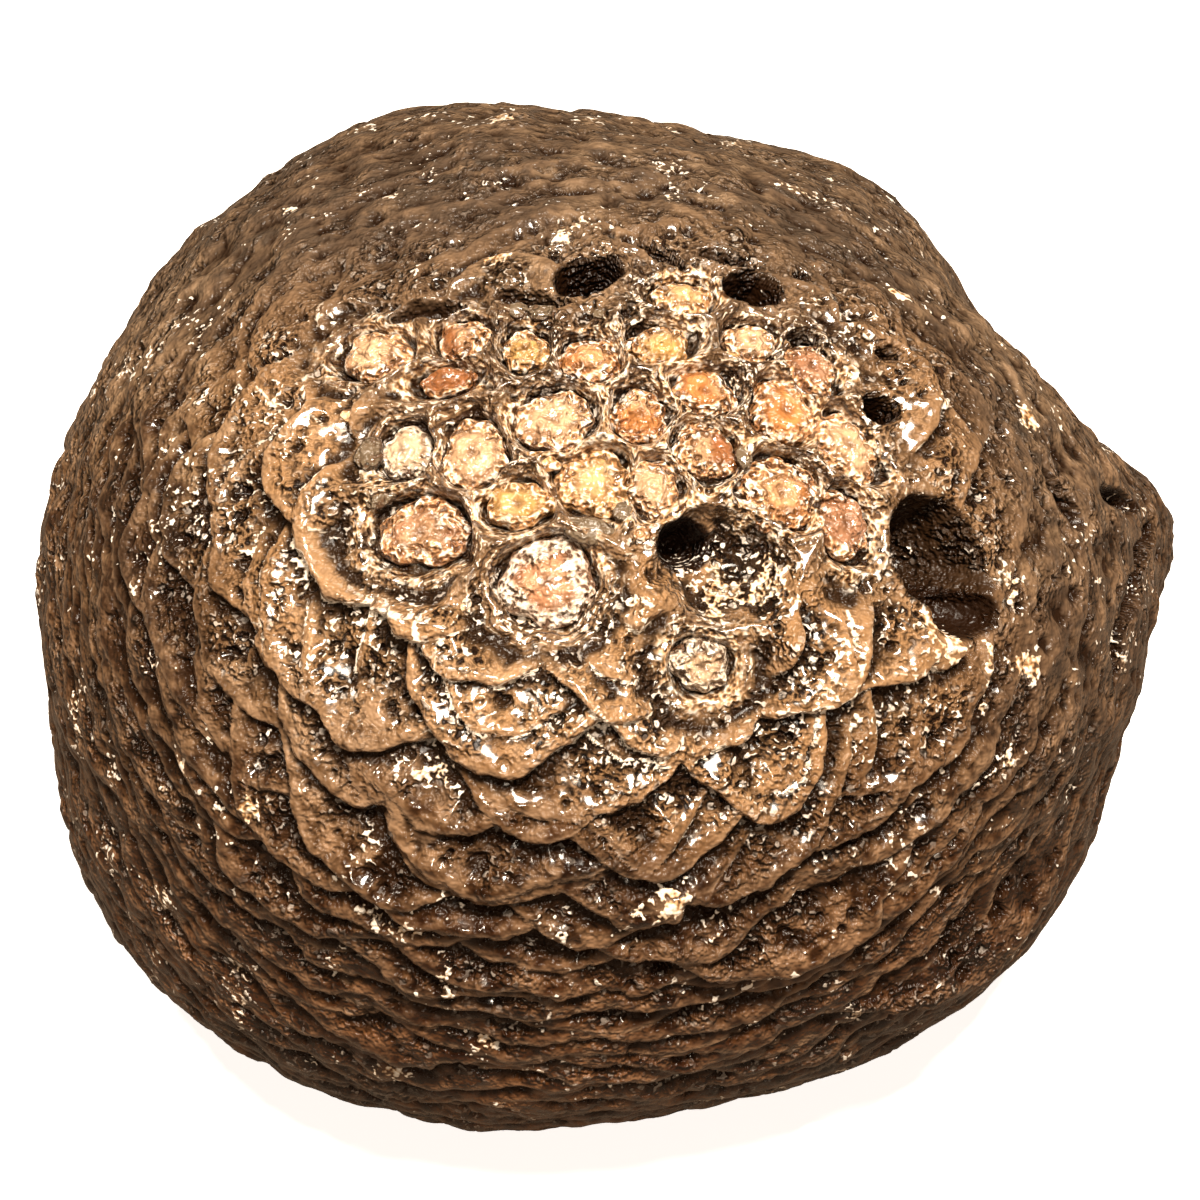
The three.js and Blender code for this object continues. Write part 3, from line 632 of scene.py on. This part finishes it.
def closed_sphere(cells_along, zoom, towards):
    """Directions and quads of a cube blown up to a sphere, with one grid to a cube side. The grid lines
    lie at equal angles, and the whole is drawn in towards one direction: the tangent of half the angle
    from it is divided by zoom."""
    t = np.tan(np.linspace(-math.pi / 4, math.pi / 4, cells_along + 1))
    u, v = (g.ravel() for g in np.meshgrid(t, t, indexing="xy"))
    one = np.ones_like(u)
    sides = [(u, v, one), (-u, v, -one), (one, u, v), (-one, -u, v), (v, one, u), (v, -one, -u)]
    d = np.concatenate([np.stack(side, 1) for side in sides])
    d /= np.linalg.norm(d, axis=1)[:, None]
    n = cells_along + 1
    corner = (np.arange(cells_along)[:, None] * n + np.arange(cells_along)[None]).ravel()
    quads = np.stack([corner, corner + 1, corner + n + 1, corner + n], 1)
    quads = np.concatenate([quads + k * n * n for k in range(6)])
    _, first, same = np.unique(np.round(d, 6), axis=0, return_index=True, return_inverse=True)
    d, quads = d[first], same.ravel()[quads]
    half = np.arctan(np.tan(np.arccos(np.clip(d[:, 2], -1, 1)) / 2) / zoom)
    shrink = np.sin(2 * half) / np.maximum(np.hypot(d[:, 0], d[:, 1]), 1e-9)
    side = np.cross(towards, [1.0, 0.0, 0.0])
    side /= np.linalg.norm(side)
    other = np.cross(side, towards)
    d = (np.outer(d[:, 0] * shrink, other) + np.outer(d[:, 1] * shrink, side)
         + np.outer(np.cos(2 * half), towards))
    return d / np.linalg.norm(d, axis=1)[:, None], quads


def face_rim(d):
    """Distance from the middle of the seed face's mesh, 1 at its rounded-rectangle rim."""
    _, _, east, north = to_map(d)
    u = np.abs(east - FACE_MIDDLE[0]) / FACE_HALF[0]
    v = np.abs(north - FACE_MIDDLE[1]) / FACE_HALF[1]
    return (u**4 + v**4) ** 0.25


def band_rim(d, name):
    """The same for a band's mesh, from its middle bearing and angle."""
    angle, bearing, _, _ = to_map(d)
    u = np.abs(bearing % (2 * math.pi) - BANDS[name]) / BAND_TURN
    v = np.abs(angle - BAND_MIDDLE) / BAND_HALF
    return (u**8 + v**8) ** 0.125


def sunken(rim):
    """How far, in mm, a mesh lies below a finer one: DIVE inside that one's seam, and DEEP_DIVE farther in,
    below the floor of every hollow."""
    dived = SEAM - SEAM_SLOPE
    return DIVE * (1 - smooth(dived, SEAM, rim)) + DEEP_DIVE * (1 - smooth(0.45, dived, rim))


def make_stone():
    """The whole cone as one closed mesh, sunken inside the seams of the finer meshes."""
    d, quads = closed_sphere(STONE_CELLS, STONE_ZOOM, POLE)
    dive = np.maximum.reduce([sunken(face_rim(d))] + [sunken(band_rim(d, name)) for name in BANDS])
    points, masks, height = cone_surface(d, dive)
    add_depths(masks, quads, height, STONE_ROUNDS)
    return make_mesh("cone_stone", points, quads, masks)


def make_seed_face():
    """The ground round the seeds as a fine grid on the map."""
    columns, rows = FACE_GRID
    u, v = np.meshgrid(np.linspace(-1, 1, columns), np.linspace(-1, 1, rows), indexing="xy")
    d = from_map(FACE_MIDDLE[0] + FACE_HALF[0] * u.ravel(), FACE_MIDDLE[1] + FACE_HALF[1] * v.ravel())
    return make_patch("seed_face", d, rows, DIVE * smooth(SEAM, 1.0, face_rim(d)))


def make_band(name, over=None):
    """Scales as a fine grid of bearings and angles from the pole, lower under the seed face and under the
    band that lies over this one."""
    columns, rows = BAND_GRID
    middle = BANDS[name]
    bearing, angle = np.meshgrid(np.linspace(middle - BAND_TURN, middle + BAND_TURN, columns),
                                 np.linspace(BAND_MIDDLE - BAND_HALF, BAND_MIDDLE + BAND_HALF, rows),
                                 indexing="xy")
    far = MAP_RADIUS * angle.ravel()
    d = from_map(far * np.sin(bearing.ravel()), far * np.cos(bearing.ravel()))
    dive = np.maximum(sunken(face_rim(d)), DIVE * smooth(SEAM, 1.0, band_rim(d, name)))
    if over:
        dive = np.maximum(dive, sunken(band_rim(d, over)))
    return make_patch(name, d, rows, dive)


def make_patch(name, d, rows, dive):
    """A part of the cone's surface as a grid of directions, closed underneath by a deep skirt and a fan."""
    columns = len(d) // rows
    points, masks, height = cone_surface(d, dive)
    corner = (np.arange(rows - 1)[:, None] * columns + np.arange(columns - 1)[None]).ravel()
    quads = np.stack([corner, corner + 1, corner + columns + 1, corner + columns], 1)
    add_depths(masks, quads, height, PATCH_ROUNDS)

    index = np.arange(rows * columns).reshape(rows, columns)
    rim = np.concatenate([index[0, :-1], index[:-1, -1], index[-1, :0:-1], index[:0:-1, 0]])
    centre = np.array([0, 0, CENTRE_HEIGHT * MM])
    skirt = centre + (points[rim] - centre) * 0.9
    hub = skirt.mean(0)[None]
    first = len(points)
    here = np.arange(len(rim))
    after = np.roll(here, -1)
    sides = np.stack([rim[here], first + here, first + after, rim[after]], 1)
    fan = np.stack([first + after, first + here, np.full(len(rim), first + len(rim))], 1)
    points = np.concatenate([points, skirt, hub])
    masks = {k: np.concatenate([m, np.zeros((len(rim) + 1, *m.shape[1:]))]) for k, m in masks.items()}
    piece = make_mesh(name, points, np.concatenate([quads, sides]), masks)
    add_faces(piece, fan)
    return piece


def add_faces(piece, faces):
    """Adds three-cornered faces to a piece's mesh."""
    mesh = piece.data
    loops = len(mesh.loops)
    mesh.loops.add(faces.size)
    corners = np.zeros(len(mesh.loops), np.int32)
    mesh.loops.foreach_get("vertex_index", corners)
    corners[loops:] = faces.ravel()
    mesh.loops.foreach_set("vertex_index", corners)
    mesh.polygons.add(len(faces))
    starts = np.concatenate([np.arange(0, loops, 4), loops + np.arange(0, faces.size, 3)]).astype(np.int32)
    mesh.polygons.foreach_set("loop_start", starts)
    mesh.update(calc_edges=True)
    mesh.polygons.foreach_set("use_smooth", np.ones(len(mesh.polygons), bool))


def seed_masks(p, share, finish, crater):
    """A seed's kernel colour, how much of the crumbly shell covers it, and where its crystals are, which are
    partly painted glints. A dark ring parts the shell from the kernel, and the rim is dark, as is a crater in
    the middle of some."""
    glassy, chalky = finish == "glass", finish in ("pearl", "chalk")
    patches, crust = mottling(p, 2.4, 131), span(mottling(p, 2.6, 101), 0.42, 0.58)
    rim = span(share, 0.9, 1.0)
    wander = share + 0.9 * (patches - 0.5)
    pale = 0.5 * span(patches, 0.5, 0.66) * (not glassy)
    shell = 0.85 * span(wander, 0.58, 0.7) * (1 - rim) * (not glassy)
    ring = 0.6 * span(wander, 0.46, 0.54) * span(wander, 0.66, 0.58) * (not glassy)
    hollow = 0.8 * crater * np.exp(-((share / 0.18) ** 2))
    mottle = 0.35 * span(mottling(p, 1.1, 141), 0.52, 0.4) * (not glassy)
    kernel = washes([(np.ones(len(p)), FINISHES[finish]), (pale, PALE_KERNEL), (mottle, SPECKLE),
                     (hollow, CRATER), (ring / np.maximum(1 - shell * (1 - ring), 0.01), SEED_RING),
                     (rim, SEED_RIM)])[1]
    outer = 0.1 + 0.9 * span(wander, 0.5, 0.66)
    return {"kernel": kernel, "shell": shell * (1 - ring), "chalky": np.full(len(p), 0.8 * chalky),
            "swell": (0.5 * crust + 0.38) * (0.35 + 0.65 * outer),
            "gaps": np.maximum(crust, 0.5) * (0.3 + 0.7 * outer),
            "sparkle": crust * outer * (1 - rim) * (not glassy)}


def seed_surface(number, bearing, share, rise, upper):
    """Points and masks of one seed or pebble, from bearings round it, shares of its half sizes and rises,
    which run from 1 at its crown to -1 at its root. Its oval is ragged. Its dome is crumbly and ringed by a
    shallow groove round a kernel, which stands up or is a crater; below the rim it is a half egg that is
    sunk in the ground."""
    east, north, wide, tall, tilt, finish = (SEEDS + PEBBLES)[number]
    seed = number < len(SEEDS)
    dome = SEED_DOME if seed else 0.5 * min(wide, tall) + 0.1
    sink = FACE_SINK + SOCKET_DEPTH if seed else FACE_SINK - 0.1
    ragged = 1 + 0.06 * np.sin(3 * bearing + number) + 0.05 * np.sin(5 * bearing + 2.3 * number)
    ragged = ragged + 0.03 * np.sin(9 * bearing + 4 * number)
    across, along = wide * share * ragged * np.cos(bearing), tall * share * ragged * np.sin(bearing)
    turn = math.radians(tilt)
    d = from_map(east + across * math.cos(turn) - along * math.sin(turn),
                 north + across * math.sin(turn) + along * math.cos(turn))
    base = base_radius(d)
    p = d * base[:, None]

    ring = 0.58 + 0.12 * np.sin(2 * bearing + number) + 0.1 * cloud(p, 0.9, 71)
    groove = np.exp(-(((share - ring) / 0.1) ** 2)) * 0.3 * chance(number, 3)
    dip = chance(number, 5) - 0.5  # below 0 the kernel stands up, above 0 it is a crater
    core = np.exp(-((share / 0.25) ** 2)) * 0.7 * dip
    crumbs = 0.16 * cloud(p, 0.8, 81) + 0.14 * cloud(p, 0.42, 82) - pits(p, 0.6, 91, 0.5, 0.2)
    crumbs = crumbs * smooth(0.0, 0.35, share + 0.4 * cloud(p, 1.6, 83)) if seed else 0.3 * crumbs
    lift = rise * dome + np.where(upper, crumbs - (groove + core) * seed, 0) + broad_lumps(d) - sink
    points = d * (base + lift)[:, None]
    points[:, 2] += CENTRE_HEIGHT
    return points, seed_masks(p, np.where(upper, share, 1.0), finish, seed and dip > 0)


def make_seeds():
    """All seeds and pebbles in one mesh. Each is one polar grid that runs from the crown out over the dome
    to the rim and back in under the half egg to the root: sines across, cosines up."""
    around, rings = SEED_GRID
    t = np.linspace(0, 2, rings + 1)[1:-1]  # 0 at the crown, 1 at the rim, 2 at the root
    share = np.where(t < 1, np.sin(t * math.pi / 2), np.sin((2 - t) * math.pi / 2))
    rise = np.where(t < 1, np.maximum(np.cos(t * math.pi / 2), 0) ** 0.8, -np.cos((2 - t) * math.pi / 2))
    bearing = np.append(np.tile(np.linspace(0, 2 * math.pi, around, endpoint=False), len(t)), [0, 0])
    share = np.append(np.repeat(share, around), [0, 0])
    rise = np.append(np.repeat(rise, around), [1, -1])
    upper = np.append(np.repeat(t <= 1, around), [True, False])
    forms = [seed_surface(k, bearing, share, rise, upper) for k in range(len(SEEDS + PEBBLES))]

    row, column = np.arange(len(t) - 1)[:, None] * around, np.arange(around)
    i, j = row + column, row + (column + 1) % around
    quads = np.stack([i, i + around, j + around, j], -1).reshape(-1, 4)
    last = column + (len(t) - 1) * around
    crown, root = np.full(around, len(bearing) - 2), np.full(around, len(bearing) - 1)
    caps = np.concatenate([np.stack([crown, column, np.roll(column, -1)], 1),
                           np.stack([root, np.roll(last, -1), last], 1)])
    start = np.arange(len(forms))[:, None, None] * len(bearing)
    points = np.concatenate([form for form, _ in forms])
    masks = {mask: np.concatenate([look[mask] for _, look in forms]) for mask in forms[0][1]}
    piece = make_mesh("seeds", points * MM, (start + quads).reshape(-1, 4), masks)
    add_faces(piece, (start + caps).reshape(-1, 3))
    return piece


# ---------------------------------------------------------------- materials
class Nodes:
    """Short ways to add and join nodes in one tree. A colour is three numbers."""

    def __init__(self, tree):
        self.nodes = tree.nodes
        self.links = tree.links

    def put(self, value, socket):
        """Joins another node's output to an input, or sets the input."""
        if isinstance(value, bpy.types.NodeSocket):
            self.links.new(value, socket)
        else:
            socket.default_value = (*value, 1) if socket.type == "RGBA" else value

    def add(self, kind, inputs, **settings):
        node = self.nodes.new(kind)
        for key, value in settings.items():
            setattr(node, key, value)
        for key, value in inputs.items():
            self.put(value, node.inputs[key])
        return node

    def math(self, operation, *values):
        return self.add("ShaderNodeMath", dict(enumerate(values)), operation=operation).outputs[0]

    def times(self, a, b):
        return self.math("MULTIPLY", a, b)

    def span(self, value, low, high, to_low=0.0, to_high=1.0):
        return self.add("ShaderNodeMapRange", {"Value": value, "From Min": low, "From Max": high,
                                               "To Min": to_low, "To Max": to_high}).outputs[0]

    def mix(self, factor, a, b):
        return self.add("ShaderNodeMix", {0: factor, 6: a, 7: b}, data_type="RGBA").outputs[2]

    def mask(self, name, output="Fac"):
        return self.add("ShaderNodeAttribute", {}, attribute_name=name).outputs[output]

    def noise(self, scale, detail, rough, vector):
        return self.add("ShaderNodeTexNoise", {"Vector": vector, "Scale": scale, "Detail": detail,
                                               "Roughness": rough}).outputs["Fac"]

    def ramp(self, factor, stops):
        node = self.add("ShaderNodeValToRGB", {"Fac": factor})
        ramp = node.color_ramp
        while len(ramp.elements) < len(stops):
            ramp.elements.new(0.5)
        for element, (place, colour) in zip(ramp.elements, stops):
            element.position = place
            element.color = (*colour, 1)
        return node.outputs[0]


def grain_group():
    """Fine relief of water-worn stone: crumbs with black gaps and dark pocks, which are painted shade, and
    pale crystals between them, which are partly painted glints. Swell is the height of the crumbs; Gaps and
    Sparkle say how many gaps and crystals there are. Height, Gap, Crystal and Crumbs run from 0 to 1."""
    tree = bpy.data.node_groups.new("stone_grain", "ShaderNodeTree")
    tree.interface.new_socket("Vector", in_out="INPUT", socket_type="NodeSocketVector")
    for name in ("Swell", "Gaps", "Sparkle"):
        tree.interface.new_socket(name, in_out="INPUT", socket_type="NodeSocketFloat")
    for name in ("Height", "Gap_Shade", "Crystal_And_Glint", "Crumbs"):
        tree.interface.new_socket(name, in_out="OUTPUT", socket_type="NodeSocketFloat")
    n = Nodes(tree)
    inside, outside = n.nodes.new("NodeGroupInput").outputs, n.nodes.new("NodeGroupOutput").inputs
    crumbs = n.noise(CRUMB_SCALE, 1, 0.62, inside["Vector"])
    beads = n.add("ShaderNodeTexVoronoi", {"Vector": inside["Vector"], "Scale": BEAD_SCALE}).outputs
    holed = n.span(beads["Color"], 0.45, 0.55)
    pock = n.times(n.span(beads["Distance"], 0.34, 0.16), holed)
    bubble = n.span(n.math("ADD", beads["Distance"], crumbs), 0.78, 0.68)
    bubble = n.times(bubble, n.math("SUBTRACT", 1.0, holed))
    gap = n.math("MAXIMUM", n.span(crumbs, 0.45, 0.36), pock)
    crystal = n.math("MAXIMUM", n.span(crumbs, 0.62, 0.67), bubble)
    n.put(n.times(n.span(crumbs, 0.3, 0.7), inside["Swell"]), outside["Height"])
    n.put(n.times(gap, inside["Gaps"]), outside["Gap_Shade"])
    n.put(n.times(crystal, inside["Sparkle"]), outside["Crystal_And_Glint"])
    n.put(crumbs, outside["Crumbs"])
    return tree


def start_material(name, grain):
    """A new material with the grain in it, fed by the piece's own masks: the material, its nodes, its
    shader, the place in the object, and the grain's gap, crystal and crumbs. The grain's height is its
    fine relief."""
    material = bpy.data.materials.new(name)
    material.use_nodes = True
    n = Nodes(material.node_tree)
    shader = n.nodes["Principled BSDF"].inputs
    place = n.add("ShaderNodeTexCoord", {}).outputs["Object"]
    masks = {mask: n.mask(mask.lower()) for mask in ("Swell", "Gaps", "Sparkle")}
    detail = n.add("ShaderNodeGroup", {}, node_tree=grain)
    for socket, value in {"Vector": place, **masks}.items():
        n.put(value, detail.inputs[socket])
    height, gap, crystal, crumbs = (detail.outputs[k] for k in ("Height", "Gap_Shade", "Crystal_And_Glint", "Crumbs"))
    bump = n.add("ShaderNodeBump", {"Strength": 1.0, "Distance": BUMP_DEPTH, "Height": height})
    n.put(bump.outputs[0], shader["Normal"])
    return material, n, shader, place, gap, crystal, crumbs


def stone_material(grain):
    """Brown petrified wood and mineral: tan on the ledges with a painted highlight along the lips, painted
    shade near black in the crevices and hollows, pale crystals that are partly painted glints, with cream
    crust and flecks on the ground round the seeds, cream crystal veins between the scales near them, and a
    wet gloss."""
    material, n, shader, place, gap, crystal, fine = start_material("petrified_stone", grain)
    mottle = n.noise(MOTTLE_SCALE, 2, 0.72, place)
    seed_gap, lined, deep = n.mask("seed_gap"), n.mask("lined"), n.mask("deep")

    # brown stone in four tones, with the washes of colour that the piece carries: among them a painted light
    # near the seed face and a painted shade towards the foot
    colour = n.ramp(n.math("MULTIPLY_ADD", mottle, 0.6, n.mask("broad")), STONE_TONES)
    colour = n.add("ShaderNodeVectorMath", {0: colour, 1: n.mask("tint", "Vector"),
                                            2: n.mask("wash", "Vector")}, operation="MULTIPLY_ADD").outputs[0]

    # ground of the seed face: crust close to a seed, and fine cream and dark growth lines
    cream = n.ramp(fine, CREAM_TONES)
    colour = n.mix(n.mask("near_seed"), colour, cream)
    lines = n.math("SINE", n.math("ADD", n.times(seed_gap, 15.0), n.times(mottle, 12.0)))
    colour = n.mix(n.times(n.span(lines, -0.5, -0.9), lined), colour, DARK_LINE)
    pale = n.times(n.span(lines, 0.72, 0.95), n.span(fine, 0.48, 0.53))
    colour = n.mix(n.times(pale, lined), colour, PALE_LINE)

    # scales: tan on high places with a painted highlight along the lips, painted shade in the gaps and
    # crevices, and pale crystals on the rough faces that are partly painted glints
    # lighter raised places, and a painted highlight along the lips
    ridge = n.times(n.mask("ridge"), n.span(mottle, 0.42, 0.6))
    colour = n.mix(n.math("MAXIMUM", ridge, n.mask("lip")), colour, RIDGE_AND_LIP_HIGHLIGHT)
    # painted shade in the gaps between crumbs and in the pocks
    colour = n.mix(n.times(gap, 0.9), colour, CRUMB_GAP_SHADE)
    # painted shade in crevices and inside the hollows
    colour = n.mix(deep, colour, CREVICE_SHADE)
    # pale crystals, partly painted glints
    colour = n.mix(crystal, colour, CRYSTAL_AND_GLINT)
    vein = n.times(n.mask("vein"), n.span(fine, 0.4, 0.47))
    colour = n.mix(n.span(vein, 0.15, 0.4), colour, VEIN)
    ragged = n.math("ADD", n.mask("inlay"), n.times(n.math("SUBTRACT", fine, 0.5), 2.4))
    colour = n.mix(n.span(ragged, 0.7, 0.85), colour, cream)
    n.put(colour, shader["Base Color"])

    n.put(n.span(mottle, 0.3, 0.7, 0.25, 0.45), shader["Roughness"])
    n.put(n.span(deep, 0.0, 1.0, 0.8, 0.03), shader["Coat Weight"])
    n.put(0.2, shader["Specular IOR Level"])
    n.put(0.12, shader["Coat Roughness"])
    return material


def seed_material(grain):
    """Agate-like seeds: a smooth kernel of its own colour, and round it a ragged shell of cream or chalky
    crumbs with dark gaps of painted shade and pale crystals that are partly painted glints."""
    material, n, shader, _, gap, crystal, fine = start_material("seed_stone", grain)
    shell = n.mix(n.mask("chalky"), n.ramp(fine, CRUMB_TONES), n.ramp(fine, CHALK_TONES))
    body = n.mix(n.mask("shell"), n.mask("kernel", "Vector"), shell)
    # painted shade in the gaps between crumbs, then pale crystals that are partly painted glints
    body = n.mix(n.times(gap, 0.6), body, SEED_CRUMB_GAP_SHADE)
    body = n.mix(crystal, body, SEED_CRYSTAL_AND_GLINT)
    n.put(body, shader["Base Color"])
    n.put(n.span(fine, 0.3, 0.7, 0.2, 0.45), shader["Roughness"])
    n.put(0.4, shader["Coat Weight"])
    n.put(0.08, shader["Coat Roughness"])
    return material


# ---------------------------------------------------------------- camera, floor and light
def make_camera():
    """Looks down at the seed face from the front, 40 degrees above level."""
    low, high = (Vector(corner) for corner in CAD_BOX)
    elevation = math.radians(40)
    back = Vector((0, -math.cos(elevation), math.sin(elevation)))
    target = Vector((0, low.y + 0.495 * (high.y - low.y), 0.433 * high.z))
    camera = bpy.data.objects.new("camera", bpy.data.cameras.new("camera"))
    camera.data.lens = 85
    camera.data.clip_start = 0.01
    camera.location = target + back * 2.506 * (high.x - low.x)
    camera.rotation_euler = (-back).to_track_quat("-Z", "Y").to_euler()
    bpy.context.scene.collection.objects.link(camera)
    bpy.context.scene.camera = camera


def make_floor():
    """A plain white floor that glows a little where the camera sees it, as an overexposed studio table."""
    side = 3.0
    points = np.array([[-side, -side, 0], [side, -side, 0], [side, side, 0], [-side, side, 0]])
    floor = make_mesh("floor", points, np.array([[0, 1, 2, 3]]))
    material = bpy.data.materials.new("white_floor")
    material.use_nodes = True
    n = Nodes(material.node_tree)
    shader = n.nodes["Principled BSDF"].inputs
    seen = n.add("ShaderNodeLightPath", {}).outputs["Is Camera Ray"]
    n.put(0.9, shader["Roughness"])
    n.put(n.mix(seen, FLOOR_BOUNCE, (0.95, 0.95, 0.95)), shader["Base Color"])
    n.put(FLOOR_GLOW, shader["Emission Color"])
    n.put(n.times(seen, 0.8), shader["Emission Strength"])
    material.cycles.emission_sampling = "NONE"
    floor.data.materials.append(material)


def add_light(name, place, target, size, power, colour):
    light = bpy.data.lights.new(name, "AREA")
    light.shape = "DISK"
    light.size = size
    light.energy = power
    light.color = colour
    lamp = bpy.data.objects.new(name, light)
    lamp.location = place
    lamp.rotation_euler = (Vector(place) - Vector(target)).to_track_quat("Z", "Y").to_euler()
    bpy.context.scene.collection.objects.link(lamp)


def make_light():
    """Dim surroundings that the camera sees as white, a soft light high above and a small crisp one for
    the glints."""
    world = bpy.data.worlds.new("studio")
    bpy.context.scene.world = world
    world.use_nodes = True
    n = Nodes(world.node_tree)
    seen = n.add("ShaderNodeLightPath", {}).outputs["Is Camera Ray"]
    n.put(n.mix(seen, ROOM_LIGHT, (1, 1, 1)), n.nodes["Background"].inputs["Color"])
    add_light("soft_key", (0.05, -0.2, 0.62), (0, 0, 0.02), 0.16, 7.5, WARM)
    add_light("right_glint", (0.14, -0.2, 0.58), (0, 0, 0.03), 0.03, 2.4, AMBER)
    add_light("left_glint", (-0.22, -0.1, 0.55), (0, 0, 0.03), 0.03, 1.2, AMBER)
    add_light("front_glint", (0.02, -0.45, 0.42), (0, 0, 0.03), 0.04, 1.0, AMBER)


make_camera()
stone = make_stone()
face = make_seed_face()
right = make_band("right_scales")
left = make_band("left_scales", "right_scales")
seeds = make_seeds()
grain = grain_group()
petrified = stone_material(grain)
for piece in (stone, face, right, left):
    piece.data.materials.append(petrified)
seeds.data.materials.append(seed_material(grain))
for piece in (stone, face, right, left, seeds):
    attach(piece, "root")
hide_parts("fossil_cone")
make_floor()
make_light()
bpy.context.scene.view_settings.view_transform = "Standard"
